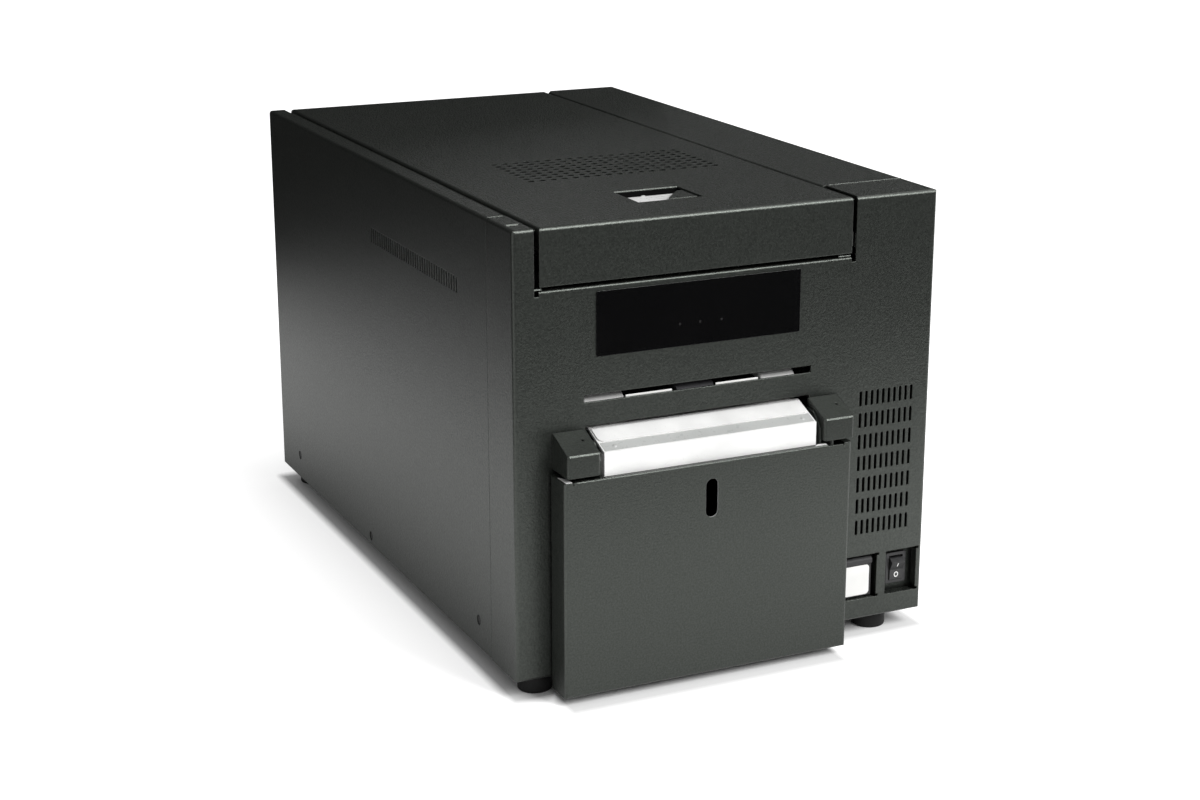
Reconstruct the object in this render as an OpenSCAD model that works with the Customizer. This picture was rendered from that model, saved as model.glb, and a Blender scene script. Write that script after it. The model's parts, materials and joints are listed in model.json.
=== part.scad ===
// Desktop printer for large plastic badge cards.
// Sizes are in millimetres. Inside the modules x runs from the cabinet's left side, y runs back
// from its front face and z runs up from its underside; cab() moves all of it to the part's own
// origin, which is under the middle of the whole printer, on the surface it stands on.

/* [Cabinet] */
// Width of the cabinet
cab_w = 288; // [286:1:290]
// Depth of the cabinet
cab_d = 470; // [468:1:474]
// Height of the cabinet without its feet
cab_h = 280; // [279:1:282]
// Thickness of the folded sheet metal
sheet = 1.2; // [1.1:0.1:1.3]
// Outside radius of the cabinet's bends
bend_r = 2.2; // [2:0.1:2.6]
// Depth of the front panel's side and top flanges
cap_d = 39.5; // [38:0.5:42]
// Height of the rubber feet
foot_h = 12; // [10:1:14]
// Radius of the rubber feet
foot_r = 10.8; // [10:0.2:11.4]

/* [Lid] */
// Left edge of the lid, from the cabinet's left side
lid_x0 = 17; // [16.8:0.1:17.2]
// Right edge of the lid
lid_x1 = 227; // [226.8:0.1:227.2]
// Height of the lid's front skirt
skirt_h = 35; // [33:0.5:36]
// Distance between the lid's vent holes
vent_pitch = 7.75; // [7.6:0.05:7.8]
// Radius of the lid's vent holes
vent_r = 2.2; // [1.8:0.1:2.4]

/* [Card path] */
// Middle of the card path, from the cabinet's left side
path_x = 122.6; // [122.2:0.1:123]
// Width of the exit slot
slot_w = 155; // [152:1:156]
// Height of the middle of the exit slot
slot_z = 174.2; // [174:0.1:174.4]
// Clear height of the exit slot
slot_h = 4.5; // [4.3:0.1:4.8]
// Height of the underside of a card in the print path
card_z = 174; // [173.9:0.1:174.1]

/* [Hopper] */
// How far the hopper door stands out of the front
door_out = 22; // [21:0.5:24]
// Left side of the hopper door
door_x0 = 22.5; // [22:0.1:23]
// Right side of the hopper door
door_x1 = 218; // [217:0.5:218.5]
// Bottom of the hopper door, below the cabinet's underside
door_z0 = -6; // [-7:0.5:-5]
// Top of the hopper door
door_z1 = 131; // [130:0.5:131.5]
// Width of the card weight
weight_w = 144.4; // [143:0.2:145]

/* [Hidden] */
$fn = 48;

cut = 1;                                   // how far a cutter runs past a face
plan_mid_y = (cab_d - door_out) / 2;       // middle of the whole depth
black = [0.16, 0.17, 0.16];
steel = [0.70, 0.71, 0.72];
white = [0.93, 0.93, 0.92];
dark = [0.07, 0.07, 0.07];

// Cabinet openings
lid_gap_x0 = 13.6;                         // cut-out of the front panel round the lid's skirt
lid_gap_x1 = 230;
lid_gap_z = cab_h - skirt_h - 2.5;
strip_x0 = 13;                             // inner edges of the two top strips
strip_x1 = 231;
gap_r = 1.9;                               // bends along the gaps beside the lid
ledge_z = cab_h - 3.2;                     // underside of the ledges under the lid's edges
rear_in = 3.4;                             // rear panel's inner face, in from the rear edge
hop_x0 = 45.8;                             // hopper mouth in the front panel
hop_x1 = 199.4;
hop_z0 = 6;
hop_z1 = 157.5;
sw_x0 = 260.5;                             // switch and button cut-outs
sw_x1 = 283.8;
bt_x0 = 222;
bt_x1 = 253.7;
ctl_z0 = 14;
ctl_z1 = 43.8;
sw_face_y = 6;                             // front of the rocker's bezel
sw_x = (sw_x0 + sw_x1) / 2;
sw_z = (ctl_z0 + ctl_z1) / 2;

// Rollers: [y, z] of each axis
roll_r = 8;
drum_r = 10;
shaft_r = 3;
run_gap = 0.05;                            // radial clearance of a shaft in its bush
exit_at = [14, card_z - drum_r];
pinch_at = [14, card_z + 0.8 + 5.7];
platen_at = [150, card_z - roll_r];
rear_at = [345, card_z - roll_r];
clean_at = [345, card_z + 0.8 + roll_r];
feed_at = [39, 12];
ramp_from = [95, 19];                      // the card's line up the ramp
ramp_to = [330, 173];
ramp_run = ramp_to - ramp_from;
ramp_len = norm(ramp_run);
ramp_a = atan2(ramp_run[1], ramp_run[0]);
ramp_belt_r = 7.3;
ramp_belt_t = 1.2;
ramp_drop = ramp_belt_r + ramp_belt_t;
ramp_dir = ramp_run / ramp_len;
ramp_down = [ramp_dir[1], -ramp_dir[0]];
ramp_lo_at = ramp_from + 14 * ramp_dir + ramp_drop * ramp_down;
ramp_hi_at = ramp_from + (ramp_len - 16) * ramp_dir + ramp_drop * ramp_down;
supply_at = [232, 222];
takeup_at = [82, 222];
motor_at = [235, 60];
frame_x0 = 36;                             // outer face of the left frame
frame_x1 = 207;                            // outer face of the right frame
frame_t = 2;
frame_y0 = 3;
frame_y1 = 445;
frame_z1 = 241;
bush_r = 5;
pulley_r = 7;
belt_gap = 0.3;
belt_t = 1.2;
lane_w = 4;                                // belt lanes outside the left frame
lanes = [21, 26, 31];
bush_axes = [exit_at, platen_at, rear_at, feed_at, ramp_lo_at, ramp_hi_at, supply_at,
    takeup_at, pinch_at, clean_at];

// Hinges and latch
lid_axis = [cab_d - 6, cab_h - 6];         // [y, z] of the lid's hinge
lid_pin_r = 2;
door_axis = [26.7, -6.5];                  // [x, y] of the door's hinge
door_pin_r = 1.2;
knuckle_r = 2.6;
latch_x0 = 100.7;                          // latch cut-out in the lid
latch_x1 = 145;
latch_y0 = 42;
latch_y1 = 77;
latch_axis = [49, 270];                    // [y, z]
latch_pin_r = 2;
catch_at = [41, 237];                      // catch bar that the latch hooks hold

// Moves everything from cabinet coordinates to the part's own frame.
module cab() {
    translate([-cab_w / 2, -plan_mid_y, foot_h]) children();
}

// Block from its lowest to its highest corner.
module block(lo, hi) {
    translate(lo) cube(hi - lo);
}

// Extrudes a [y, z] outline along x.
module along_x(x0, x1) {
    translate([x0, 0, 0]) rotate([90, 0, 90]) linear_extrude(x1 - x0) children();
}

// Extrudes an [x, z] outline along y.
module along_y(y0, y1) {
    translate([0, y1, 0]) rotate([90, 0, 0]) linear_extrude(y1 - y0) children();
}

// Extrudes an [x, y] outline along z.
module along_z(z0, z1) {
    translate([0, 0, z0]) linear_extrude(z1 - z0) children();
}

module rod_x(x0, x1, at, r) {
    translate([x0, at[0], at[1]]) rotate([0, 90, 0]) cylinder(h = x1 - x0, r = r);
}

module tube_x(x0, x1, at, r_out, r_in) {
    difference() {
        rod_x(x0, x1, at, r_out);
        rod_x(x0 - cut, x1 + cut, at, r_in);
    }
}

module rect(x0, y0, x1, y1) {
    translate([x0, y0]) square([x1 - x0, y1 - y0]);
}

// Rectangle whose corners are rounded where round_at holds [low x low y, high x low y,
// high x high y, low x high y].
module soft_rect(x0, y0, x1, y1, r, round_at = [true, true, true, true]) {
    difference() {
        rect(x0, y0, x1, y1);
        for (i = [0:3]) {
            if (round_at[i]) {
                sx = (i == 0 || i == 3) ? 1 : -1;
                sy = (i < 2) ? 1 : -1;
                translate([sx > 0 ? x0 : x1, sy > 0 ? y0 : y1]) {
                    difference() {
                        rect(min(0, sx * r), min(0, sy * r), max(0, sx * r), max(0, sy * r));
                        translate([sx * r, sy * r]) circle(r);
                    }
                }
            }
        }
    }
}

// Upright slot with round ends, centred.
module slot2d(w, h) {
    square([w, h - w], center = true);
    for (s = [-1, 1]) {
        translate([0, s * (h - w) / 2]) circle(w / 2, $fn = 16);
    }
}

// Belt loop round two equal pulleys, as a [y, z] outline: two half rings and two straight runs.
module loop2d(a, b, r, t) {
    d = b - a;
    run = norm(d);
    out = r + t;
    translate(a) rotate(atan2(d[1], d[0])) {
        difference() {
            circle(out);
            circle(r);
            rect(0, -out - cut, out + cut, out + cut);
        }
        translate([run, 0]) difference() {
            circle(out);
            circle(r);
            rect(-out - cut, -out - cut, 0, out + cut);
        }
        rect(0, r, run, out);
        rect(0, -out, run, -r);
    }
}

// The cabinet as a solid box, drawn in by inset, with its bends rounded.
module case_body(inset) {
    r = bend_r - inset;
    long = cab_d + 20;
    intersection() {
        along_z(inset, cab_h - inset) {
            soft_rect(inset, inset, cab_w - inset, long, r, [true, true, false, false]);
        }
        along_x(inset - cut, cab_w - inset + cut) {
            soft_rect(inset, inset, long + cut, cab_h - inset, r, [true, false, false, true]);
        }
        along_y(inset - cut, long + cut) {
            soft_rect(inset, inset - cut, cab_w - inset, cab_h - inset, r,
                [false, false, true, true]);
        }
    }
}

module case_shell(lo, hi) {
    intersection() {
        difference() {
            case_body(0);
            case_body(sheet);
        }
        block(lo, hi);
    }
}

module side_vents() {
    n = 38;
    pitch = 4.2;
    first_y = 88;
    mid_z = 229.2;
    for (i = [0:n - 1]) {
        translate([first_y + i * pitch, mid_z]) square([1.9, 9.8], center = true);
    }
}

side_screws = [[427, 19], [264, 7], [60.5, 19]];   // [y, z] of the screws in each side
side_hole_r = 3.25;

// ---- Cabinet ----

module grille() {
    cols = 10;
    rows = 7;
    for (i = [0:cols - 1]) {
        for (j = [0:rows - 1]) {
            translate([237 + i * 4.17, 150 - j * 14.4]) slot2d(1.9, 10);
        }
    }
}

lamp_x = [108, 121.6, 136.2];
lamp_z = 209.5;
overlay = [53, 199.5, 190.8, 239];         // x0, z0, x1, z1

module front_openings() {
    relief = 1.6;
    translate([path_x, slot_z]) square([slot_w, slot_h], center = true);
    rect(hop_x0, hop_z0, hop_x1, hop_z1);
    for (x = [[bt_x0, bt_x1], [sw_x0, sw_x1]]) {
        rect(x[0], ctl_z0, x[1], ctl_z1);
        rect(x[1] - relief, ctl_z1 - relief, x[1] + relief, ctl_z1 + 0.2);
        rect(x[1] - relief, ctl_z0 - 0.2, x[1] + relief, ctl_z0 + relief);
    }
    for (x = lamp_x) {
        translate([x, lamp_z]) circle(1.6, $fn = 24);
    }
    rect(207.4, 56, 212.4, 72);            // the door's strike passes here
    grille();
}

module front_panel() {
    flange_y = 30;
    lip_y = 9;
    relief_x = 3;
    cab() color(black) {
        difference() {
            case_shell([-cut, -cut, -cut], [cab_w + cut, cap_d, cab_h + cut]);
            along_y(-cut, bend_r + cut) front_openings();
            block([lid_gap_x0, -cut, lid_gap_z], [lid_gap_x1, 5, cab_h + cut]);
            block([strip_x0, 1.8, 265], [strip_x1, cap_d + cut, cab_h + cut]);
            for (x = [lid_gap_x0, lid_gap_x1 - relief_x]) {
                block([x, -cut, lid_gap_z - relief_x], [x + relief_x, 5, lid_gap_z + cut]);
            }
            block([sheet, flange_y, -cut], [cab_w - sheet, cap_d + cut, sheet + cut]);
            // round the edge under the lid's skirt
            along_x(lid_gap_x0, lid_gap_x1) {
                difference() {
                    rect(-cut, lid_gap_z - 1.2, 1.2, lid_gap_z + cut);
                    translate([1.2, lid_gap_z - 1.2]) circle(1.2);
                }
            }
            for (x = [0, cab_w]) {
                block([x - 2, 11.6, -cut], [x + 2, 13.4, 1]);
            }
            block([2.8, 12.6, cab_h - 2], [10.8, 15.6, cab_h + cut]);
        }
        block([lid_gap_x0 + relief_x, 1, lid_gap_z - sheet],
            [lid_gap_x1 - relief_x, lip_y, lid_gap_z]);
        block([hop_x0, 1, hop_z1], [hop_x1, 5, hop_z1 + sheet]);
        for (x = [[bt_x0, bt_x1], [sw_x0, sw_x1]]) {
            block([x[0] + 2, 1, ctl_z0 - sheet], [x[1] - 2, 5.8, ctl_z0]);
            block([x[1], 1, ctl_z0 + 2], [x[1] + sheet, 5.8, ctl_z1 - 2]);
        }
    }
}

// One side of the cabinet with its top strip; the other side is its mirror image in x.
module side_sheet(strip, ledge_x) {
    y0 = cap_d + 0.3;
    rear_y = cab_d - rear_in - sheet;
    difference() {
        union() {
            case_shell([-cut, y0, 0.9], [strip, cab_d, cab_h + cut]);
            block([strip - sheet, y0, ledge_z], [strip, rear_y, cab_h]);
            block([strip - sheet, 5, ledge_z], [ledge_x, rear_y, ledge_z + sheet]);
            block([0.6, rear_y, 30], [11, rear_y + sheet, ledge_z - 2]);
        }
        along_x(-cut, sheet + cut) side_vents();
        for (at = side_screws) {
            rod_x(-cut, sheet + cut, at, side_hole_r);
        }
        for (z = [60, 160, 240]) {
            translate([7, rear_y - cut, z]) rotate([-90, 0, 0]) cylinder(h = 4, r = 1.5);
        }
        // the strip's inner edge is rolled
        along_y(y0 - cut, cab_d + cut) difference() {
            rect(strip - gap_r, cab_h - gap_r, strip + cut, cab_h + cut);
            translate([strip - gap_r, cab_h - gap_r]) circle(gap_r);
        }
        // the sides have no bottom flange
        block([sheet, y0 - cut, 0], [strip + cut, cab_d + cut, 2 * sheet]);
    }
}

module left_panel() {
    cab() color(black) side_sheet(strip_x0, lid_x0 - 0.4);
}

module right_panel() {
    cab() color(black) translate([cab_w, 0, 0]) mirror([1, 0, 0]) {
        side_sheet(cab_w - strip_x1, cab_w - lid_x1 - 0.4);
    }
}

fan_c = [246, 215];                        // [x, z] of the fan
fan_r = 28;
inlet_c = [256, 42];
usb_c = [222.5, 105];
lan_c = [223.5, 125];

module rear_panel() {
    y0 = cab_d - rear_in;
    top_z = lid_axis[1] - 9.5;
    cab() color(black) difference() {
        block([sheet + 0.2, y0, sheet + 0.2], [cab_w - sheet - 0.2, y0 + sheet, cab_h - 1.4]);
        block([strip_x0 + 0.2, y0 - cut, top_z], [strip_x1 - 0.2, y0 + sheet + cut, cab_h]);
        along_y(y0 - cut, y0 + sheet + cut) {
            for (i = [-5:5]) {
                for (j = [-5:5]) {
                    if (norm([i, j]) * 5.2 < fan_r - 1.5) {
                        translate(fan_c + 5.2 * [i, j]) circle(1.9, $fn = 16);
                    }
                }
            }
            translate(inlet_c) square([27.6, 19.6], center = true);
            translate(usb_c) square([12.6, 11.6], center = true);
            translate(lan_c) square([16.6, 14.1], center = true);
            for (i = [0:19]) {
                translate([60 + i * 6.4, 90]) slot2d(2.6, 30);
            }
        }
        for (x = [7, cab_w - 7]) {
            for (z = [60, 160, 240]) {
                translate([x, y0 - cut, z]) rotate([-90, 0, 0]) cylinder(h = 4, r = 1.5);
            }
        }
    }
}

module base_tray() {
    y0 = 30.4;
    y1 = cab_d - rear_in - 0.2;
    x0 = sheet + 0.2;
    side_h = 27;
    cab() color(black) difference() {
        union() {
            block([x0, y0, 0], [cab_w - x0, y1, sheet]);
            block([x0 + 12, 8, sheet], [cab_w - x0 - 12, 60, 2 * sheet]);
            for (x = [x0, cab_w - x0 - sheet]) {
                block([x, 42, 0], [x + sheet, y1, side_h]);
            }
            block([x0, y1 - sheet, 0], [cab_w - x0, y1, 20]);
        }
        for (at = side_screws) {
            rod_x(-cut, 10, at, 1.5);
            rod_x(cab_w - 10, cab_w + cut, at, 1.5);
        }
        for (i = [0:11]) {
            translate([70 + i * 9, 300, -cut]) linear_extrude(5) slot2d(4, 60);
        }
    }
}

foot_xy = [[18.5, 16], [260, 18], [18.5, 452], [260, 452]];
foot_recess = 4;                           // depth of the recess round each foot's screw

module rubber_feet() {
    cab() color(dark) for (p = foot_xy) {
        translate([p[0], p[1], -foot_h]) rotate_extrude() difference() {
            soft_rect(0, 0, foot_r, foot_h, 1.2, [false, true, false, false]);
            rect(-cut, -cut, 4, foot_recess);
            rect(-cut, -cut, 1.5, foot_h + cut);
        }
    }
}

// Round-headed screw along +y with the head at its low end.
module screw(head_r, head_h, shank_r, length) {
    cylinder(h = head_h, r = head_r);
    cylinder(h = length, r = shank_r);
}

module case_screws() {
    rear_y = cab_d - rear_in + sheet;
    head_h = 1.5;
    cab() color([0.3, 0.3, 0.3]) {
        for (at = side_screws) {
            translate([0.45, at[0], at[1]]) rotate([0, 90, 0]) screw(2.9, 0.95, 1.45, 6);
            translate([cab_w - 0.45, at[0], at[1]]) rotate([0, -90, 0]) screw(2.9, 0.95, 1.45, 6);
        }
        for (x = [7, cab_w - 7]) {
            for (z = [60, 160, 240]) {
                translate([x, rear_y + 1.6, z]) rotate([90, 0, 0]) screw(2.8, 1.6, 1.45, 8);
            }
        }
        for (p = foot_xy) {
            translate([p[0], p[1], foot_recess - foot_h - head_h]) {
                screw(3.6, head_h, 1.45, foot_h - foot_recess + head_h);
            }
        }
    }
}

module display_overlay() {
    cab() color("black") along_y(-0.6, 0) {
        soft_rect(overlay[0], overlay[1], overlay[2], overlay[3], 1);
    }
}

module indicator_board() {
    cab() color([0.1, 0.35, 0.2]) {
        block([95, 4.2, 202], [150, 5.8, 236]);
        for (x = lamp_x) {
            translate([x, 0.1, lamp_z]) rotate([-90, 0, 0]) cylinder(h = 4.3, r = 1.45);
        }
        block([100, 5.6, 222], [118, 11, 230]);
        // spacers on the front panel's back
        for (x = [98, 147]) {
            translate([x, sheet, 231]) rotate([-90, 0, 0]) cylinder(h = 3.2, r = 2);
        }
    }
}

// ---- Hopper ----

cover_x = [[24.5, 45.7], [198.2, 219.2]];
cover_z0 = 133.5;
slope_y0 = -door_out;                      // the covers' and the weight's shared slope
slope_z0 = 147.2;
slope_z1 = 155.8;

// [y, z] outline of a guide cover, drawn in by t on its top and front.
module cover_outline(t) {
    z0 = t > 0 ? cover_z0 - cut : cover_z0;
    polygon([[0, z0], [0, slope_z1 - 1.08 * t], [slope_y0 + t, slope_z0 - 0.7 * t],
        [slope_y0 + t, z0]]);
}

module guide_covers() {
    cab() color(black) for (x = cover_x) {
        difference() {
            intersection() {
                along_x(x[0], x[1]) cover_outline(0);
                along_z(cover_z0, slope_z1) {
                    soft_rect(x[0], slope_y0, x[1], 5, 1.6, [true, true, false, false]);
                }
            }
            intersection() {
                along_x(x[0] + sheet, x[1] - sheet) cover_outline(sheet);
                block([0, slope_y0, 0], [cab_w, -0.01, cab_h]);
            }
            translate([x[0] + 15.5, -9, 140]) cylinder(h = 30, r = 0.9, $fn = 20);
        }
    }
}

guide_x0 = 47;                             // outer faces of the card guide
guide_x1 = 198.2;
guide_top = 150;
back_y = 76;                               // the card guide's back wall
track_y = [24.8, 31.2];                    // slot for the weight's ears
track_z = [24, 141];

module hopper_guide() {
    r = 3;
    // wings that fix the guide to the two frames
    cab() color(black) for (x = [[frame_x0 + frame_t, guide_x0 + 4],
        [guide_x1 - 4, frame_x1 - frame_t]]) {
        block([x[0], back_y, 60], [x[1], back_y + sheet, 140]);
    }
    cab() color(black) difference() {
        along_z(8, guide_top) difference() {
            soft_rect(guide_x0, -60, guide_x1, back_y + sheet, r, [false, false, true, true]);
            soft_rect(guide_x0 + sheet, -61, guide_x1 - sheet, back_y, r - sheet,
                [false, false, true, true]);
            rect(guide_x0 - cut, -62, guide_x1 + cut, -18.1);
        }
        along_x(guide_x0 - cut, guide_x1 + cut) {
            rect(track_y[0], track_z[0], track_y[1], track_z[1]);
            // front corner follows the slope of the covers
            polygon([[-20, 139], [-8, guide_top + cut], [-20, guide_top + cut]]);
        }
        block([guide_x0 - cut, 60, 0], [guide_x1 + cut, back_y + 10, 19.2]);
        along_y(back_y - cut, back_y + 5) {
            for (x = [80, path_x, 165]) {
                translate([x, 90]) slot2d(20, 70);
            }
        }
        rod_x(guide_x0 - cut, guide_x1 + cut, feed_at, shaft_r + 1.5);
    }
}

tray_z1 = 18;

module hopper_tray() {
    cab() color(steel) difference() {
        union() {
            block([guide_x0 + sheet, -17.5, tray_z1 - sheet], [guide_x1 - sheet, 93, tray_z1]);
            block([guide_x0 + sheet, -17.5, 8], [guide_x1 - sheet, -17.5 + sheet, tray_z1]);
        }
        block([path_x - 16, 30, 0], [path_x + 16, 48, 30]);
        along_z(0, 30) {
            translate([path_x, -17.5]) circle(14);
        }
    }
}

module hopper_door() {
    rim = 3.6;
    hem_x0 = door_x0 + 6.2;
    hem_x1 = door_x1 - 6.2;
    cab() color(black) {
        difference() {
            intersection() {
                along_z(door_z0, door_z1) {
                    soft_rect(door_x0, -door_out, door_x1, -2, 2, [true, true, false, false]);
                }
                along_x(door_x0, door_x1) {
                    soft_rect(-door_out, door_z0, -2, door_z1, 1.6, [true, false, false, false]);
                }
            }
            along_z(door_z0 + sheet, door_z1 + cut) {
                soft_rect(door_x0 + sheet, sheet - door_out, door_x1 - sheet, 0, 2 - sheet,
                    [true, true, false, false]);
            }
            along_y(-door_out - cut, -door_out + 3) {
                translate([120.3, 108.3]) slot2d(8.4, 24.6);
            }
            // slits beside the corner tabs
            for (x = [hem_x0 - 0.7, hem_x1]) {
                block([x, -door_out - cut, door_z1 - 2], [x + 0.7, -door_out + 3, door_z1 + cut]);
            }
            // a step beside the right-hand tab
            block([hem_x1 - 11, -door_out - cut, door_z1 - 0.9], [hem_x1, -10, door_z1 + cut]);
        }
        block([hem_x0, sheet - door_out - 0.2, door_z1 - sheet],
            [hem_x1 - 11, rim - door_out, door_z1]);
        for (x = [[door_x0 + 0.6, hem_x0 - 0.7], [hem_x1 + 0.7, door_x1 - 0.6]]) {
            block([x[0], sheet - door_out - 0.2, door_z1 - sheet], [x[1], -2, door_z1]);
        }
        // hinge knuckles on the left wall
        for (z = [[26, 39.7], [60.3, 79.7], [100.3, 114]]) {
            difference() {
                union() {
                    translate([door_axis[0], door_axis[1], z[0]]) {
                        cylinder(h = z[1] - z[0], r = knuckle_r);
                    }
                    block([door_x0 + 0.6, door_axis[1] - knuckle_r, z[0]],
                        [door_axis[0], door_axis[1] - knuckle_r + 1.2, z[1]]);
                }
                translate([door_axis[0], door_axis[1], z[0] - cut]) {
                    cylinder(h = 40, r = door_pin_r + run_gap);
                }
            }
        }
    }
}

module door_strike() {
    cab() color(steel) difference() {
        union() {
            block([200.5, sheet - door_out, 56], [214, 2 * sheet - door_out, 72]);
            block([208, sheet - door_out, 58], [209.4, 11, 70]);
        }
        block([200, 3.5, 61.5], [215, 7.5, 66.5]);
    }
}

// The fixed half of the door's hinge: two knuckles on a stepped leaf.
module door_hinge_leaf() {
    reach = 7.6;
    t = 1.2;
    cab() color(black) {
        for (z = [[40, 60], [80, 100]]) {
            difference() {
                union() {
                    translate([door_axis[0], door_axis[1], z[0]]) {
                        cylinder(h = z[1] - z[0], r = knuckle_r);
                    }
                    block([door_axis[0], door_axis[1] - knuckle_r, z[0]],
                        [door_axis[0] + reach, door_axis[1] - knuckle_r + t, z[1]]);
                    block([door_axis[0] + reach - t, door_axis[1] - knuckle_r, z[0]],
                        [door_axis[0] + reach, 0, z[1]]);
                }
                translate([door_axis[0], door_axis[1], z[0] - cut]) {
                    cylinder(h = 40, r = door_pin_r);
                }
            }
        }
        block([door_axis[0] + reach - t, -t, 36], [door_axis[0] + reach + 9, 0, 104]);
    }
}

module hinge_pins() {
    cab() color(steel) {
        translate([door_axis[0], door_axis[1], 24]) cylinder(h = 92, r = door_pin_r);
        for (x = lid_pin_x) {
            rod_x(x[0], x[1], lid_axis, lid_pin_r);
        }
    }
}

weight_x0 = path_x - weight_w / 2;
weight_x1 = path_x + weight_w / 2;
weight_y0 = -17.2;
weight_y1 = 72;
weight_z0 = 121.5;
fold_z = 145.2;                            // where the weight's front turns into its slope
crest_y = 6;                               // where the slope ends
crest_z = 154.2;
weight_top = 153.4;                        // the flat top, which passes under the exit drums

// [y, z] outline of the weight's folded sheet, drawn in by t.
module weight_outline(t) {
    polygon([[weight_y0 + t, weight_z0 + t], [weight_y0 + t, fold_z - 0.75 * t],
        [crest_y + 0.1 * t, crest_z - t], [crest_y + 3, weight_top - t],
        [weight_y1 - t, weight_top - t], [weight_y1 - t, weight_z0 + t]]);
}

module card_weight() {
    ear_z = [122.5, 138];
    cab() color(white) {
        difference() {
            along_x(weight_x0, weight_x1) weight_outline(0);
            along_x(weight_x0 - cut, weight_x1 + cut) weight_outline(1.5);
        }
        for (x = [weight_x0, weight_x1 - 1.5]) {
            block([x, weight_y0 + 0.2, weight_z0 + 0.2], [x + 1.5, 60, 143.5]);
        }
        for (x = [[weight_x0 - 4.6, weight_x0 + 1], [weight_x1 - 1, weight_x1 + 4.6]]) {
            block([x[0], track_y[0] + 0.3, ear_z[0]], [x[1], track_y[1] - 0.3, ear_z[1]]);
        }
    }
}

// Places a flat [x, distance up the slope] outline on the weight's slope.
module on_slope() {
    run = [crest_y - weight_y0, crest_z - fold_z];
    translate([0, weight_y0, fold_z]) rotate([atan2(run[1], run[0]), 0, 0]) children();
}

module weight_plate() {
    t = 0.9;
    cab() color(white) on_slope() linear_extrude(t) {
        soft_rect(weight_x0 + 0.8, 9.6, weight_x1 - 0.8, 22.5, 4, [true, true, false, false]);
    }
}

module weight_rivets() {
    cab() color(steel) on_slope() {
        for (x = [weight_x0 + 9, weight_x1 - 7]) {
            translate([x, 5, 0]) rotate_extrude() intersection() {
                translate([0, -1.6]) circle(2.3);
                rect(0, 0, 3, 3);
            }
        }
    }
}

// ---- Controls ----

module switch_bracket() {
    back = 30;
    cab() color(black) {
        // box behind the button
        difference() {
            block([220.3, sheet, 10.4], [256.4, back, 46]);
            block([221.5, 0, 11.6], [255.2, back - sheet, 44.8]);
            block([233.2, back - 3, 23.2], [244.8, back + 1, 33.8]);
        }
        // recess that the switch snaps into
        difference() {
            block([257.4, sheet, 10.4], [286, sw_face_y + 2 + sheet, 47.4]);
            block([258.6, 0, 11.6], [287, sw_face_y + 2, 46.2]);
            block([258.6, 0, 8], [287, 6, 14.4]);
            block([sw_x - 6.6, 0, sw_z - 9.7], [sw_x + 6.6, 20, sw_z + 9.7]);
        }
    }
}

rocker_axis = [sw_face_y + 3.4, sw_z];     // [y, z]

module switch_housing() {
    w = 15;
    h = 21;
    cab() color(dark) difference() {
        union() {
            along_y(sw_face_y, sw_face_y + 2) {
                soft_rect(sw_x - w / 2, sw_z - h / 2, sw_x + w / 2, sw_z + h / 2, 1);
            }
            block([sw_x - 6.5, sw_face_y + 1, sw_z - 9.6], [sw_x + 6.5, sw_face_y + 18, sw_z + 9.6]);
            for (z = [-5, 5]) {
                block([sw_x - 2.4, sw_face_y + 17, sw_z + z - 0.4],
                    [sw_x + 2.4, sw_face_y + 25, sw_z + z + 0.4]);
            }
        }
        block([sw_x - 5.2, 0, sw_z - 8.4], [sw_x + 5.2, sw_face_y + 11, sw_z + 8.4]);
        rod_x(sw_x - 6.1, sw_x + 6.1, rocker_axis, 1 + run_gap);
    }
}

// Seen from the side the rocker is a shallow V. It rests with its lower half pressed in and the
// end of its upper half standing out.
module power_rocker() {
    cab() color(dark) {
        along_x(sw_x - 4.9, sw_x + 4.9) translate(rocker_axis) {
            polygon([[-4.2, -8], [-4.4, -1.2], [-7.2, 4.7], [-4, 7], [2, 6.6], [4.4, 0],
                [2, -6.6]]);
        }
        rod_x(sw_x - 5.9, sw_x + 5.9, rocker_axis, 1);
    }
}

btn = [224.7, 251.1, 14.8, 41.4];          // x0, x1, z0, z1 of the button's face
btn_y = 2.6;

module open_button() {
    cab() color([0.12, 0.12, 0.12]) {
        difference() {
            along_x(btn[0], btn[1]) {
                polygon([[btn_y, btn[2]], [btn_y, btn[3] - 5], [btn_y - 1.2, btn[3] - 4.2],
                    [btn_y - 1.2, btn[3] - 1.6], [btn_y + 0.6, btn[3]], [12, btn[3]], [12, btn[2]]]);
            }
            block([btn[0] + 1.5, btn_y + 2, btn[2] + 1.5], [btn[1] - 1.5, 13, btn[3] - 1.5]);
        }
        block([233.6, btn_y + 1, 23.6], [244.4, 40, 33.4]);
    }
}

// ---- Frames and card path ----

module frame_plate(x0) {
    difference() {
        block([x0, frame_y0, sheet * 2], [x0 + frame_t, frame_y1, frame_z1]);
        for (at = bush_axes) {
            rod_x(x0 - cut, x0 + frame_t + cut, at, bush_r);
        }
        along_x(x0 - cut, x0 + frame_t + cut) {
            translate([190, 75]) soft_rect(-40, -18, 12, 40, 6);
            translate([385, 90]) soft_rect(-40, -40, 40, 50, 6);
            translate([290, 40]) soft_rect(-20, -18, 24, 50, 6);
        }
    }
}

module left_frame() {
    cab() color(steel) difference() {
        union() {
            frame_plate(frame_x0);
            block([frame_x0 - 10, 62, sheet], [frame_x0 + frame_t, frame_y1, sheet * 2 + 0.4]);
        }
        rod_x(frame_x0 - cut, frame_x0 + frame_t + cut, motor_at, 11.2);
    }
}

module right_frame() {
    cab() color(steel) {
        frame_plate(frame_x1 - frame_t);
        block([frame_x1 - frame_t, 62, sheet], [frame_x1 + 8, frame_y1, sheet * 2 + 0.4]);
    }
}

tie_at = [[430, 25], [430, 225], [180, 140], [300, 236]];

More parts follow.
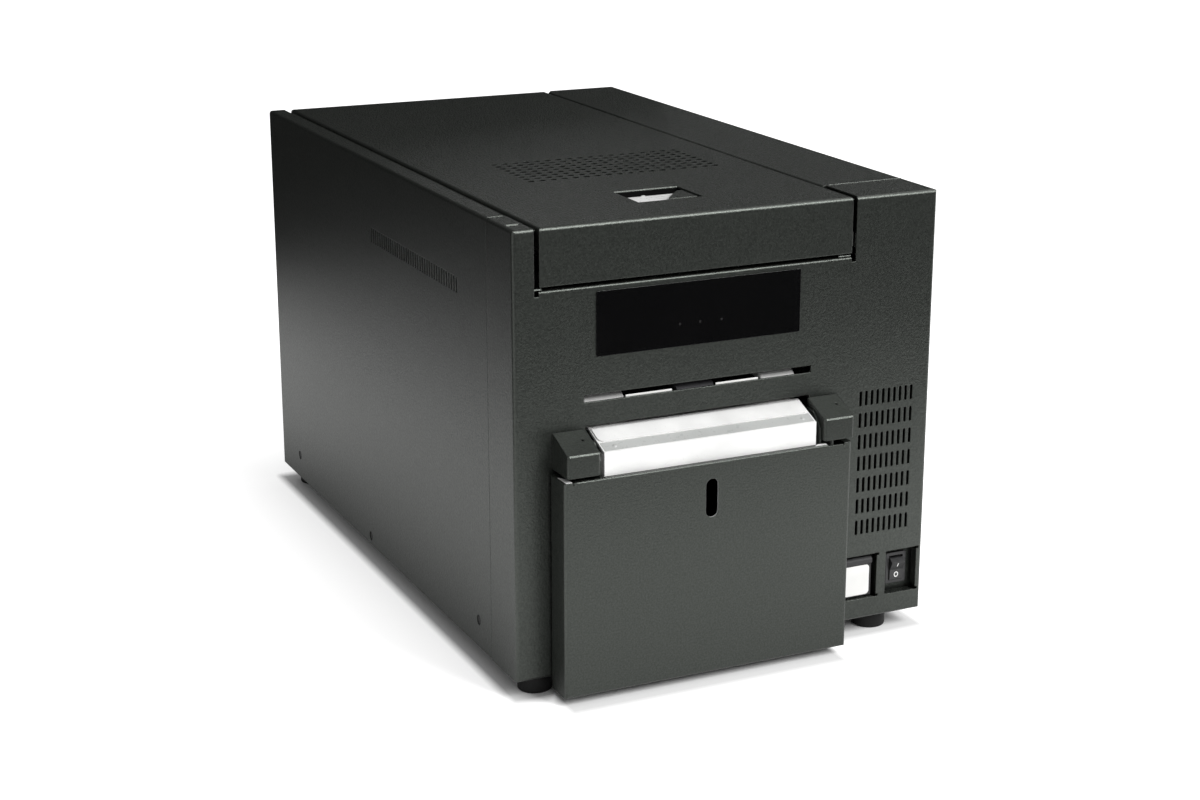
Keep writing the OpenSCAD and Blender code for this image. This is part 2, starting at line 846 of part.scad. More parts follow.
module tie_bars() {
    x0 = frame_x0 + frame_t;
    x1 = frame_x1 - frame_t;
    cab() color(steel) {
        rod_x(x0, x1, catch_at, 2.5);
        for (at = tie_at) {
            rod_x(x0, x1, at, 4);
        }
    }
}

module shaft_bearings() {
    cab() color(dark) {
        for (at = bush_axes) {
            tube_x(frame_x0 - 0.4, frame_x0 + frame_t, at, bush_r, shaft_r + run_gap);
            tube_x(frame_x1 - frame_t, frame_x1 + 0.4, at, bush_r, shaft_r + run_gap);
            tube_x(frame_x0 + frame_t, frame_x0 + frame_t + 1, at, bush_r + 1,
                shaft_r + run_gap);
            tube_x(frame_x1 - frame_t - 1, frame_x1 - frame_t, at, bush_r + 1,
                shaft_r + run_gap);
        }
    }
}

// Sheet the cards slide on, with lowered fingers between the exit rollers.
module card_deck() {
    z1 = card_z - 0.6;
    z0 = z1 - sheet;
    low = 170.5;
    x0 = frame_x0 + frame_t;
    x1 = frame_x1 - frame_t;
    cab() color([0.85, 0.85, 0.84]) difference() {
        union() {
            block([x0, 33, z0], [x1, 430, z1]);
            block([x0, 33, low - sheet], [x1, 33 + sheet, z1]);
            block([x0, 27, low - sheet], [x1, 34, low]);
            for (x = [[76.8, 108], [137, 166.8]]) {
                block([x[0], 3.4, low - sheet], [x[1], 28, low]);
            }
        }
        block([path_x - 76, platen_at[0] - 10, z0 - cut], [path_x + 76, platen_at[0] + 10, z1 + cut]);
        block([path_x - 76, 296, z0 - cut], [path_x + 76, rear_at[0] + 10, z1 + cut]);
    }
}

module card_ramp() {
    cab() color(steel) translate([0, ramp_from[0], ramp_from[1]]) rotate([ramp_a, 0, 0]) {
        difference() {
            block([frame_x0 + frame_t, 2, -2.2], [frame_x1 - frame_t, ramp_len - 9, -1]);
            block([path_x - 25, 4.4, -4], [path_x + 25, ramp_len, 1]);
        }
    }
}

module ramp_belt() {
    cab() color(dark) along_x(path_x - 22, path_x + 22) {
        loop2d(ramp_lo_at, ramp_hi_at, ramp_belt_r, ramp_belt_t);
    }
}

module drive_belts() {
    pairs = [[lanes[0], motor_at, rear_at], [lanes[1], rear_at, platen_at],
        [lanes[2], platen_at, exit_at], [lanes[1], motor_at, ramp_lo_at],
        [lanes[2], ramp_lo_at, feed_at]];
    cab() color(dark) for (p = pairs) {
        along_x(p[0], p[0] + lane_w) loop2d(p[1], p[2], pulley_r + belt_gap, belt_t);
    }
}

// Roller shaft from the belt lanes to the right frame, with its pulley.
module drive_shaft(at, first_lane, last_lane) {
    rod_x(lanes[first_lane] - 1, frame_x1 + 4, at, shaft_r);
    rod_x(lanes[first_lane], lanes[last_lane] + lane_w, at, pulley_r);
}

// Plain shaft between the two frames.
module idle_shaft(at) {
    rod_x(frame_x0 - 3, frame_x1 + 3, at, shaft_r);
}

module platen_roller() {
    cab() color(dark) tube_x(path_x - 73, path_x + 73, platen_at, roll_r, shaft_r);
}

module platen_shaft() {
    cab() color(steel) drive_shaft(platen_at, 1, 2);
}

drum_x = [[47.5, 74.8], [168, 192.2]];

module exit_roller() {
    cab() color([0.25, 0.25, 0.25]) tube_x(110, 135.3, exit_at, drum_r - 0.1, shaft_r);
}

module exit_drums() {
    edge = 1.5;
    cab() color(white) for (x = drum_x) {
        translate([x[0], exit_at[0], exit_at[1]]) rotate([0, 90, 0]) rotate_extrude() {
            soft_rect(shaft_r, 0, drum_r, x[1] - x[0], edge, [false, true, true, false]);
        }
    }
}

module exit_shaft() {
    cab() color(steel) drive_shaft(exit_at, 2, 2);
}

module pinch_roller() {
    cab() color(dark) {
        rod_x(path_x - 20, path_x + 20, pinch_at, 5.7);
        idle_shaft(pinch_at);
    }
}

module cleaning_roller() {
    cab() color([0.5, 0.62, 0.75]) {
        rod_x(path_x - 72, path_x + 72, clean_at, roll_r);
        idle_shaft(clean_at);
    }
}

module rear_roller() {
    cab() color(dark) {
        rod_x(path_x - 73, path_x + 73, rear_at, roll_r);
        drive_shaft(rear_at, 0, 1);
    }
}

module feed_roller() {
    cab() color(dark) {
        rod_x(path_x - 14, path_x + 14, feed_at, tray_z1 - feed_at[1] + 0.8);
        drive_shaft(feed_at, 2, 2);
    }
}

module ramp_lower_roller() {
    cab() color(steel) {
        rod_x(path_x - 23, path_x + 23, ramp_lo_at, ramp_belt_r - belt_gap);
        drive_shaft(ramp_lo_at, 1, 2);
    }
}

module ramp_upper_roller() {
    cab() color(steel) {
        rod_x(path_x - 23, path_x + 23, ramp_hi_at, ramp_belt_r - belt_gap);
        idle_shaft(ramp_hi_at);
    }
}

// Ribbon spool: a wound roll between two flanges on its spindle.
module spool(at, roll) {
    idle_shaft(at);
    rod_x(path_x - 74, path_x + 74, at, 9);
    rod_x(path_x - 71, path_x + 71, at, roll);
    for (x = [path_x - 75.5, path_x + 74]) {
        rod_x(x, x + 1.5, at, 26);
    }
}

module ribbon_supply() {
    cab() color([0.2, 0.2, 0.22]) spool(supply_at, 23);
}

module ribbon_takeup() {
    cab() color([0.2, 0.2, 0.22]) spool(takeup_at, 13);
}

module transport_motor() {
    side = 42;
    x0 = frame_x0 + frame_t;
    cab() color([0.35, 0.35, 0.37]) difference() {
        union() {
            along_x(x0, x0 + 34) translate(motor_at) difference() {
                square(side, center = true);
                for (a = [0:90:270]) {
                    rotate(a) translate([side / 2, side / 2]) rotate(45) square(6, center = true);
                }
            }
            rod_x(x0 - 2, x0 + 1, motor_at, 11);
        }
        rod_x(x0 - 3, x0 + 20, motor_at, 2.5 + run_gap);
    }
}

module motor_pulley() {
    cab() color(steel) {
        rod_x(lanes[0] - 1, frame_x0 + frame_t + 19, motor_at, 2.5);
        rod_x(lanes[0], lanes[1] + lane_w, motor_at, pulley_r);
    }
}

// ---- Electrics at the right and the rear ----

module power_supply() {
    z0 = sheet + 6;
    top = 48;
    cab() color(steel) difference() {
        block([214, 130, z0], [280, 240, top]);
        for (i = [0:11]) {
            block([222, 142 + i * 8, top - 2], [272, 146 + i * 8, top + cut]);
        }
    }
    cab() color(steel) for (y = [136, 226]) {
        block([216, y, sheet], [278, y + 8, z0 + 0.5]);
    }
}

module main_board() {
    x0 = 214;
    cab() color([0.1, 0.35, 0.2]) {
        block([x0 - 1.6, 300, 60], [x0, 446, 190]);
        for (p = [[70, 310], [180, 310], [70, 436], [180, 436]]) {
            rod_x(frame_x1, x0 - 1.2, [p[1], p[0]], 3);
        }
        block([x0 - 0.2, 350, 120], [x0 + 3, 378, 148]);
        block([x0 - 0.2, 385, 124], [x0 + 2, 400, 144]);
        for (y = [320, 334]) {
            rod_x(x0 - 0.2, x0 + 14, [y, 84], 5.5);
        }
        for (z = [155, 168, 180]) {
            block([x0 - 0.2, 330, z], [x0 + 8, 360, z + 6]);
        }
    }
}

module data_ports() {
    y0 = 446.4;
    y1 = cab_d - rear_in + 0.9;
    cab() color([0.75, 0.75, 0.77]) {
        for (p = [[usb_c, [12, 11], [8.6, 7.8]], [lan_c, [16, 13.5], [12, 9]]]) {
            difference() {
                block([p[0][0] - p[1][0] / 2, y0, p[0][1] - p[1][1] / 2],
                    [p[0][0] + p[1][0] / 2, y1, p[0][1] + p[1][1] / 2]);
                block([p[0][0] - p[2][0] / 2, y1 - 10, p[0][1] - p[2][1] / 2],
                    [p[0][0] + p[2][0] / 2, y1 + cut, p[0][1] + p[2][1] / 2]);
            }
        }
        block([usb_c[0] - 5.6, y0 + 1, usb_c[1] + 5], [usb_c[0] + 5, y1 - 3, lan_c[1] - 6]);
        // foot soldered to the main board
        block([214, 440, usb_c[1] + 3], [217.5, y0 + 3, lan_c[1] - 3]);
    }
}

module power_inlet() {
    panel_y = cab_d - rear_in + sheet;
    cab() color(dark) {
        difference() {
            union() {
                along_y(panel_y, panel_y + 2) translate(inlet_c) soft_rect(-24, -11.5, 24, 11.5, 3);
                translate([inlet_c[0], 0, inlet_c[1]]) {
                    block([-13.7, 440, -9.7], [13.7, panel_y + 1, 9.7]);
                }
            }
            along_y(panel_y - 16, panel_y + 3) translate(inlet_c) {
                polygon([[-12.2, -8.4], [12.2, -8.4], [12.2, 4.4], [8.2, 8.4], [-8.2, 8.4],
                    [-12.2, 4.4]]);
            }
            for (s = [-1, 1]) {
                translate([inlet_c[0] + s * 20, panel_y - 1, inlet_c[1]]) rotate([-90, 0, 0]) {
                    cylinder(h = 5, r = 1.7);
                }
            }
        }
        for (p = [[-7, -2], [0, 2], [7, -2]]) {
            translate([inlet_c[0] + p[0], 0, inlet_c[1] + p[1]]) {
                block([-1, 450, -2], [1, panel_y - 4, 2]);
            }
        }
    }
}

fan_y0 = cab_d - rear_in - 20;

module fan_frame() {
    side = 60;
    cab() color(dark) {
        difference() {
            along_y(fan_y0, fan_y0 + 20) translate(fan_c) soft_rect(-30, -30, 30, 30, 4);
            translate([fan_c[0], fan_y0 - cut, fan_c[1]]) rotate([-90, 0, 0]) {
                cylinder(h = 22, r = fan_r);
            }
            for (s = [[-1, -1], [1, -1], [1, 1], [-1, 1]]) {
                translate([fan_c[0] + 25 * s[0], fan_y0 - cut, fan_c[1] + 25 * s[1]]) {
                    rotate([-90, 0, 0]) cylinder(h = 22, r = 2);
                }
            }
        }
        translate([fan_c[0], fan_y0, fan_c[1]]) rotate([-90, 0, 0]) {
            cylinder(h = 3, r = 14);
            cylinder(h = 16, r = 1.5);
            for (a = [0:120:240]) {
                rotate(a) translate([10, -2, 0]) cube([fan_r - 9, 4, 2.4]);
            }
        }
    }
}

module fan_rotor() {
    blades = 7;
    cab() color(dark) translate([fan_c[0], fan_y0 + 4, fan_c[1]]) rotate([-90, 0, 0]) {
        difference() {
            cylinder(h = 14, r = 14);
            translate([0, 0, -cut]) cylinder(h = 14, r = 1.5 + run_gap);
        }
        intersection() {
            difference() {
                translate([0, 0, 0.5]) cylinder(h = 13, r = fan_r - 1.5);
                translate([0, 0, -cut]) cylinder(h = 20, r = 13);
            }
            for (i = [0:blades - 1]) {
                rotate(i * 360 / blades) translate([8, 0, 7]) rotate([40, 0, 0]) {
                    translate([0, -9, -0.7]) cube([24, 18, 1.4]);
                }
            }
        }
    }
}

// ---- Lid ----

bracket_x = [[frame_x0 + frame_t, frame_x0 + frame_t + 2],
    [frame_x1 - frame_t - 2, frame_x1 - frame_t]];
ear_x = [[40.5, 43], [200, 202.5]];
lid_pin_x = [[bracket_x[0][0], ear_x[0][1] + 1.5], [ear_x[1][0] - 1.5, bracket_x[1][1]]];

module lid_hinge_brackets() {
    cab() color(steel) for (x = bracket_x) {
        difference() {
            union() {
                along_x(x[0], x[1]) polygon([[418, 236], [446, 236], [446, 262],
                    [456, lid_axis[1] - 4], [lid_axis[0], lid_axis[1] - 4],
                    [lid_axis[0], lid_axis[1] + 4], [436, lid_axis[1] + 2], [418, 250]]);
                rod_x(x[0], x[1], lid_axis, 4);
            }
            rod_x(x[0] - cut, x[1] + cut, lid_axis, lid_pin_r);
        }
    }
}

module lid_outline(t) {
    soft_rect(t, -cut, cab_d - t, cab_h - t, bend_r - t, [false, false, true, true]);
}

module lid_panel() {
    side_z = cab_h - 12;
    cab() color(black) difference() {
        intersection() {
            along_x(lid_x0, lid_x1) lid_outline(0);
            along_y(-cut, cab_d + cut) {
                soft_rect(lid_x0, 0, lid_x1, cab_h, gap_r, [false, false, true, true]);
            }
            block([0, -cut, cab_h - skirt_h], [cab_w, cab_d + cut, cab_h + cut]);
        }
        along_x(lid_x0 + sheet, lid_x1 - sheet) lid_outline(sheet);
        block([0, sheet + 1, 0], [cab_w, cab_d + cut, side_z]);
        along_z(cab_h - 5, cab_h + cut) {
            rect(latch_x0, latch_y0, latch_x1, latch_y1);
            for (i = [0:17]) {
                for (j = [0:8]) {
                    translate([68.4 + i * vent_pitch, 130.2 + j * vent_pitch]) {
                        circle(vent_r, $fn = 20);
                    }
                }
            }
        }
    }
}

// Folded frame under the lid's sheet that carries the hinge ears and the print head.
module lid_stiffener() {
    z1 = cab_h - sheet;
    z0 = z1 - sheet;
    y0 = 20;
    left = [41, 60];                       // rails on both sides of the vents
    right = [206, 224];
    left_y1 = 460;
    right_y1 = 400;
    cab() color(steel) difference() {
        union() {
            block([left[0], y0, z0], [left[1], left_y1, z1]);
            block([left[1] - sheet, y0, z1 - 9], [left[1], left_y1, z1]);
            block([right[0], y0, z0], [right[1], right_y1, z1]);
            block([right[0], y0, z1 - 9], [right[0] + sheet, right_y1, z1]);
            for (y = [[18, 36], [206, 220], [300, 316]]) {
                block([left[0], y[0], z0], [right[1], y[1], z1]);
            }
            block([left[0], 440, z0], [ear_x[1][1], 458, z1]);
            for (x = ear_x) {
                rod_x(x[0], x[1], lid_axis, 4);
                block([x[0], 446, lid_axis[1] - 3], [x[1], lid_axis[0], lid_axis[1] + 4]);
                block([x[0], 446, lid_axis[1] - 3], [x[1], 459.5, z1]);
            }
        }
        for (x = ear_x) {
            rod_x(x[0] - cut, x[1] + cut, lid_axis, lid_pin_r + run_gap);
        }
    }
}

cup_t = 1.2;
cup_z0 = 262;

module latch_cup() {
    cab() color(dark) difference() {
        block([latch_x0 - cup_t, latch_y0 - cup_t, cup_z0],
            [latch_x1 + cup_t, latch_y1 + cup_t, cab_h - sheet]);
        block([latch_x0, latch_y0, cup_z0 + cup_t], [latch_x1, latch_y1, cab_h]);
        block([109, latch_y0 + 0.6, cup_z0 - cut], [137, 58, cup_z0 + 3]);
        rod_x(latch_x0 - 3, latch_x1 + 3, latch_axis, latch_pin_r + run_gap);
    }
}

module latch_paddle() {
    x0 = 106.6;
    x1 = 139.4;
    z1 = 277.4;
    hook_z = 231;
    cab() color(white) {
        block([x0, 47, z1 - 1.6], [x1, 69, z1]);
        for (x = [x0, x1 - 1.6]) {
            along_x(x, x + 1.6) polygon([[latch_axis[0] - 2, z1 - 1], [66, z1 - 1],
                [latch_axis[0] + 3, latch_axis[1] - 2], [latch_axis[0] - 2, latch_axis[1] - 3]]);
        }
        rod_x(latch_x0 - cup_t + 0.2, latch_x1 + cup_t - 0.2, latch_axis, latch_pin_r);
        rod_x(x0, x1, latch_axis, 3.4);
        for (x = [112, 131]) {
            along_x(x, x + 3) polygon([[47.4, 270], [50.6, 270], [50.6, hook_z], [47.6, hook_z],
                [44.5, hook_z + 2.6], [44.5, hook_z + 3.4], [47.4, hook_z + 3.4]]);
        }
    }
}

head_y = [132, 168];
head_x = [path_x - 75, path_x + 75];

module head_carrier() {
    left = [head_x[0] + 2, head_x[0] + 4];
    right = [head_x[1] - 4, head_x[1] - 2];
    y0 = head_y[0] + 2;
    y1 = head_y[1] - 2;
    z0 = 196;
    top = cab_h - 2 * sheet;
    t = 1.5;
    // the right arm steps out over the frame, so that nothing lies close under the vents
    jog = [208, 250];
    cab() color(steel) {
        block([left[0], y0, z0], [left[1], y1, top]);
        block([right[0], y0, z0], [right[1], y1, jog[1]]);
        block([right[0], y0, jog[1] - t], [jog[0] + 2, y1, jog[1]]);
        block([jog[0], y0, jog[1] - t], [jog[0] + 2, y1, top]);
        block([left[0], y0, z0], [right[1], y1, z0 + 2]);
        block([left[0], y1 - 2, z0], [right[1], y1, 230]);
        block([left[0] - 1, 120, top - t], [left[0] + 8, 216, top]);
        block([jog[0], 120, top - t], [jog[0] + 12, 216, top]);
    }
}

module print_head() {
    fins = 9;
    cab() color([0.55, 0.56, 0.58]) {
        along_x(head_x[0], head_x[1]) polygon([[platen_at[0] - 3, 175.4],
            [platen_at[0] + 4, 175.4], [head_y[1] - 4, 180], [head_y[1] - 4, 187],
            [head_y[0] + 2, 187], [head_y[0] + 2, 184]]);
        for (i = [0:fins - 1]) {
            y = head_y[0] + 3 + i * 3.6;
            block([head_x[0] + 6, y, 186.5], [head_x[1] - 6, y + 1.4, 196]);
        }
    }
}

front_panel();
left_panel();
right_panel();
rear_panel();
base_tray();
rubber_feet();
case_screws();
display_overlay();
indicator_board();
guide_covers();
hopper_guide();
hopper_tray();
door_hinge_leaf();
hinge_pins();
switch_bracket();
switch_housing();
left_frame();
right_frame();
tie_bars();
card_deck();
card_ramp();
ramp_belt();
shaft_bearings();
transport_motor();
drive_belts();
power_inlet();
data_ports();
main_board();
power_supply();
fan_frame();
lid_hinge_brackets();
hopper_door();
door_strike();
card_weight();
weight_plate();
weight_rivets();
open_button();
power_rocker();
lid_panel();
lid_stiffener();
latch_cup();
head_carrier();
print_head();
latch_paddle();
platen_roller();
platen_shaft();
exit_roller();
exit_drums();
exit_shaft();
pinch_roller();
cleaning_roller();
rear_roller();
feed_roller();
ramp_lower_roller();
ramp_upper_roller();
ribbon_supply();
ribbon_takeup();
fan_rotor();
motor_pulley();
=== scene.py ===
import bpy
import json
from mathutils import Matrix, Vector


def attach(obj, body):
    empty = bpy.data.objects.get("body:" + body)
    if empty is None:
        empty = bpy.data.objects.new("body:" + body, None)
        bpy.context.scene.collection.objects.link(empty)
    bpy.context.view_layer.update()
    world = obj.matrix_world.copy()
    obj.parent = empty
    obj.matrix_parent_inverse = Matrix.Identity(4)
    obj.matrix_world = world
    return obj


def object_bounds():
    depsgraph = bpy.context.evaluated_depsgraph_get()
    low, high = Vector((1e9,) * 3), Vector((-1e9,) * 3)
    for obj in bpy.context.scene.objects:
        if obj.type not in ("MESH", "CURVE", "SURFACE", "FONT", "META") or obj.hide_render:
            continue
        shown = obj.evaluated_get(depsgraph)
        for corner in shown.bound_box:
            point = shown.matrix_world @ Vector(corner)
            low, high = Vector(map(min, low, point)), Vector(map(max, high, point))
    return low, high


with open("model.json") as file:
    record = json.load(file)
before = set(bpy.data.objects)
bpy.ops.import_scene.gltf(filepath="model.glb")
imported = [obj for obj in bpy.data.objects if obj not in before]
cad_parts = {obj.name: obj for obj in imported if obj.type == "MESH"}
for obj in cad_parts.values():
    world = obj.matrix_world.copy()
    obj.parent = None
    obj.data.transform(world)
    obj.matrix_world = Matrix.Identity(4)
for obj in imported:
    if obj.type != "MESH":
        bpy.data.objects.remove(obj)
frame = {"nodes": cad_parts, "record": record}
cad_box = [list(corner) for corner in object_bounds()]

import json
import math

import bmesh
import bpy
from mathutils import Matrix, Vector

NODES = frame["nodes"]

# Places in the cabinet's millimetres, as in the CAD source
CAB_TOP_Z = 280
CAP_REAR_Y = 39.9
PANEL_Y = 0
DOOR_FRONT_Y = -22
DOOR_TOP_Z = 131
DOOR_WINDOW = (116.1, 96, 124.5, 120.6)  # x and z of its lower left, then upper right
PADDLE_TOP_Z = 277.3


def cab(x, y, z):
    """A point in the cabinet's millimetres, as in the CAD source, in the part's metres."""
    return Vector(((x - 144) / 1000, (y - 224) / 1000, (z + 12) / 1000))


# ---- Camera, floor and light ----

def look(obj, direction):
    """Turn a camera or a lamp to look along a direction."""
    obj.rotation_mode = "QUATERNION"
    obj.rotation_quaternion = Vector(direction).to_track_quat("-Z", "Y")


def make_camera():
    """Camera solved from the photo's straight edges, for a frame 1200 pixels wide."""
    yaw, pitch, focal_px, width_px = math.radians(25.13), math.radians(16.72), 2181, 1200
    data = bpy.data.cameras.new("camera")
    data.sensor_width = 36
    data.lens = data.sensor_width * focal_px / width_px
    cam = bpy.data.objects.new("camera", data)
    bpy.context.scene.collection.objects.link(cam)
    cam.location = cab(-470.97, -1122.42, 544.89)
    look(cam, (math.sin(yaw) * math.cos(pitch), math.cos(yaw) * math.cos(pitch),
               -math.sin(pitch)))
    bpy.context.scene.camera = cam


def add_area(name, at, target, size, power):
    data = bpy.data.lights.new(name, "AREA")
    data.shape = "RECTANGLE"
    data.size, data.size_y = size
    data.energy = power
    lamp = bpy.data.objects.new(name, data)
    bpy.context.scene.collection.objects.link(lamp)
    lamp.location = at
    look(lamp, Vector(target) - Vector(at))


def seen_rays(nt, reflected=1.0):
    """1 for camera rays, `reflected` for the glossy and transmission rays, else 0."""
    path = nt.nodes.new("ShaderNodeLightPath")
    mirrored = add_math(nt, "MAXIMUM", path.outputs["Is Glossy Ray"],
                        path.outputs["Is Transmission Ray"])
    return add_math(nt, "MULTIPLY_ADD", mirrored, reflected, path.outputs["Is Camera Ray"],
                    clamp=True)


def stage_plane(name, corners, color, roughness):
    """A plane of the studio, which isn't part of the object."""
    mesh = bpy.data.meshes.new(name)
    mesh.from_pydata(corners, [], [(0, 1, 2, 3)])
    plane = bpy.data.objects.new(name, mesh)
    bpy.context.scene.collection.objects.link(plane)
    mat = bpy.data.materials.new(name)
    mat.use_nodes = True
    shader = mat.node_tree.nodes["Principled BSDF"]
    shader.inputs["Base Color"].default_value = (*color, 1)
    shader.inputs["Roughness"].default_value = roughness
    mesh.materials.append(mat)
    return plane, mat.node_tree, shader


def add_math(nt, operation, a, b=0.0, c=0.0, clamp=False):
    """A Math node; each operand is a number or a socket."""
    node = nt.nodes.new("ShaderNodeMath")
    node.operation = operation
    node.use_clamp = clamp
    for socket, value in zip(node.inputs, (a, b, c)):
        if isinstance(value, (int, float)):
            socket.default_value = value
        else:
            nt.links.new(value, socket)
    return node.outputs[0]


def add_gap(nt, split, *ranges):
    """Distance along the floor from a rectangle, along each axis and in all. In the second
    one the way to the front or rear counts less, so that the shadow there reaches further."""
    depth_weight = 0.35
    across = [add_math(nt, "MAXIMUM", add_math(nt, "SUBTRACT", add_math(
        nt, "ABSOLUTE", add_math(nt, "SUBTRACT", split.outputs[i], (low + high) / 2)),
        (high - low) / 2)) for i, (low, high) in enumerate(ranges)]
    return across, add_math(nt, "SQRT", add_math(
        nt, "MULTIPLY_ADD", across[0], across[0], add_math(
            nt, "MULTIPLY", add_math(nt, "MULTIPLY", across[1], across[1]), depth_weight)))


def make_floor(size=14, near_lift=0.6, far_lift=0.22):
    """White table. Its emission lifts it to the white of the background, and fades
    out at the cabinet's foot and in front of the door, so that the contact shadow stays; the fade
    also paints shadow there, as the floor is darker without the emission even where it is lit."""
    near_width, far_width = 0.007, 0.06
    open_width, open_depth, open_share = 0.1, 0.35, 0.7
    door_x, door_depth, door_shadow = (-0.118, 0.068), 0.024, 0.005
    corners = [(-size, -size, 0), (size, -size, 0), (size, size, 0), (-size, size, 0)]
    _, nt, shader = stage_plane("floor", corners, (0.95, 0.95, 0.95), 0.8)
    shader.inputs["Specular IOR Level"].default_value = 0.1
    shader.inputs["Emission Color"].default_value = (1, 1, 1, 1)
    split = nt.nodes.new("ShaderNodeSeparateXYZ")
    nt.links.new(nt.nodes.new("ShaderNodeTexCoord").outputs["Object"], split.inputs[0])
    (x0, y0, _), (x1, y1, _) = cad_box
    across, away = add_gap(nt, split, (x0, x1), (y0 + door_depth, y1))
    # The lift also fades in front of the door: painted shadow there.
    at_door = add_gap(nt, split, door_x, (y0 - door_shadow, 0))[1]
    away = add_math(nt, "MINIMUM", away, at_door)
    near = add_math(nt, "DIVIDE", away, near_width, clamp=True)
    far = add_math(nt, "DIVIDE", away, far_width, clamp=True)
    # The reflections see less of the lift close to the cabinet: painted shade on the floor near
    # its foot, as its lower faces reflect it.
    open_floor = add_math(nt, "MULTIPLY_ADD", across[0], 1 / open_width, add_math(
        nt, "DIVIDE", across[1], open_depth), clamp=True)
    lift = add_math(nt, "MULTIPLY_ADD", near, near_lift,
                    add_math(nt, "MULTIPLY", far, far_lift))
    seen = seen_rays(nt, add_math(nt, "MULTIPLY", open_floor, open_share))
    nt.links.new(add_math(nt, "MULTIPLY", lift, seen), shader.inputs["Emission Strength"])


def make_black_card(name, start, end, height, foot=0.0, drop=0.0, lean=0.0):
    """Black studio card, which only reflections see. Its top edge comes down by `drop` on
    the way to its second end, and leans forward by `lean`."""
    (x0, y0), (x1, y1) = start, end
    corners = [(x0, y0, foot), (x1, y1, foot), (x1, y1 - lean, height - drop),
               (x0, y0 - lean, height)]
    card = stage_plane(name, corners, (0.012, 0.012, 0.012), 0.9)[0]
    card.visible_camera = False
    card.visible_diffuse = False
    card.visible_shadow = False


def make_world(ambient=0.33):
    """Dim white light on the object, and full white where it is seen or reflected."""
    world = bpy.context.scene.world or bpy.data.worlds.new("world")
    bpy.context.scene.world = world
    world.use_nodes = True
    nt = world.node_tree
    nt.nodes.clear()
    out = nt.nodes.new("ShaderNodeOutputWorld")
    mix = nt.nodes.new("ShaderNodeMixShader")
    dim, white = nt.nodes.new("ShaderNodeBackground"), nt.nodes.new("ShaderNodeBackground")
    dim.inputs["Strength"].default_value = ambient
    for node in (dim, white):
        node.inputs["Color"].default_value = (1, 1, 1, 1)
    nt.links.new(seen_rays(nt), mix.inputs[0])
    nt.links.new(dim.outputs[0], mix.inputs[1])
    nt.links.new(white.outputs[0], mix.inputs[2])
    nt.links.new(mix.outputs[0], out.inputs[0])


# ---- Materials ----

class Look:
    """A procedural material on one Principled shader."""

    def __init__(self, name, color, roughness, metallic=0.0, specular=0.5):
        self.mat = bpy.data.materials.new(name)
        self.mat.use_nodes = True
        self.nt = self.mat.node_tree
        self.shader = self.nt.nodes["Principled BSDF"]
        self.coords = self.node("ShaderNodeTexCoord").outputs["Object"]
        self.set("Base Color", (*color, 1))
        self.set("Roughness", roughness)
        self.set("Metallic", metallic)
        self.set("Specular IOR Level", specular)
        self.normal = None

    def node(self, kind, **settings):
        made = self.nt.nodes.new(kind)
        for key, value in settings.items():
            setattr(made, key, value)
        return made

    def set(self, socket, value):
        self.shader.inputs[socket].default_value = value
        return self

    def stretched(self, scale):
        mapping = self.node("ShaderNodeMapping")
        mapping.inputs["Scale"].default_value = scale
        self.nt.links.new(self.coords, mapping.inputs["Vector"])
        return mapping.outputs[0]

    def noise(self, scale, detail=3.0, stretch=None):
        """Noise in the object's own coordinates; scale is in grains per metre."""
        tex = self.node("ShaderNodeTexNoise")
        tex.inputs["Scale"].default_value = scale
        tex.inputs["Detail"].default_value = detail
        source = self.stretched(stretch) if stretch else self.coords
        self.nt.links.new(source, tex.inputs["Vector"])
        return tex.outputs["Fac"]

    def ramp(self, value, low, high, from_low=0.3, from_high=0.7):
        node = self.node("ShaderNodeMapRange")
        for key, number in (("From Min", from_low), ("From Max", from_high),
                            ("To Min", low), ("To Max", high)):
            node.inputs[key].default_value = number
        self.nt.links.new(value, node.inputs["Value"])
        return node.outputs["Result"]

    def blend(self, value, a, b, from_low=0.3, from_high=0.7):
        mix = self.node("ShaderNodeMix", data_type="RGBA")
        mix.inputs["A"].default_value = (*a, 1)
        mix.inputs["B"].default_value = (*b, 1)
        self.nt.links.new(self.ramp(value, 0, 1, from_low, from_high), mix.inputs["Factor"])
        return mix.outputs["Result"]

    def use(self, socket, value):
        self.nt.links.new(value, self.shader.inputs[socket])
        return self

    def soften(self, radius):
        """Rounded look of the edges."""
        bevel = self.node("ShaderNodeBevel", samples=4)
        bevel.inputs["Radius"].default_value = radius
        self.normal = bevel.outputs[0]
        self.nt.links.new(self.normal, self.shader.inputs["Normal"])
        return self

    def bump(self, value, strength, distance):
        node = self.node("ShaderNodeBump")
        if isinstance(strength, (int, float)):
            node.inputs["Strength"].default_value = strength
        else:
            self.nt.links.new(strength, node.inputs["Strength"])
        node.inputs["Distance"].default_value = distance
        self.nt.links.new(value, node.inputs["Height"])
        if self.normal:
            self.nt.links.new(self.normal, node.inputs["Normal"])
        self.normal = node.outputs[0]
        self.nt.links.new(self.normal, self.shader.inputs["Normal"])
        return self


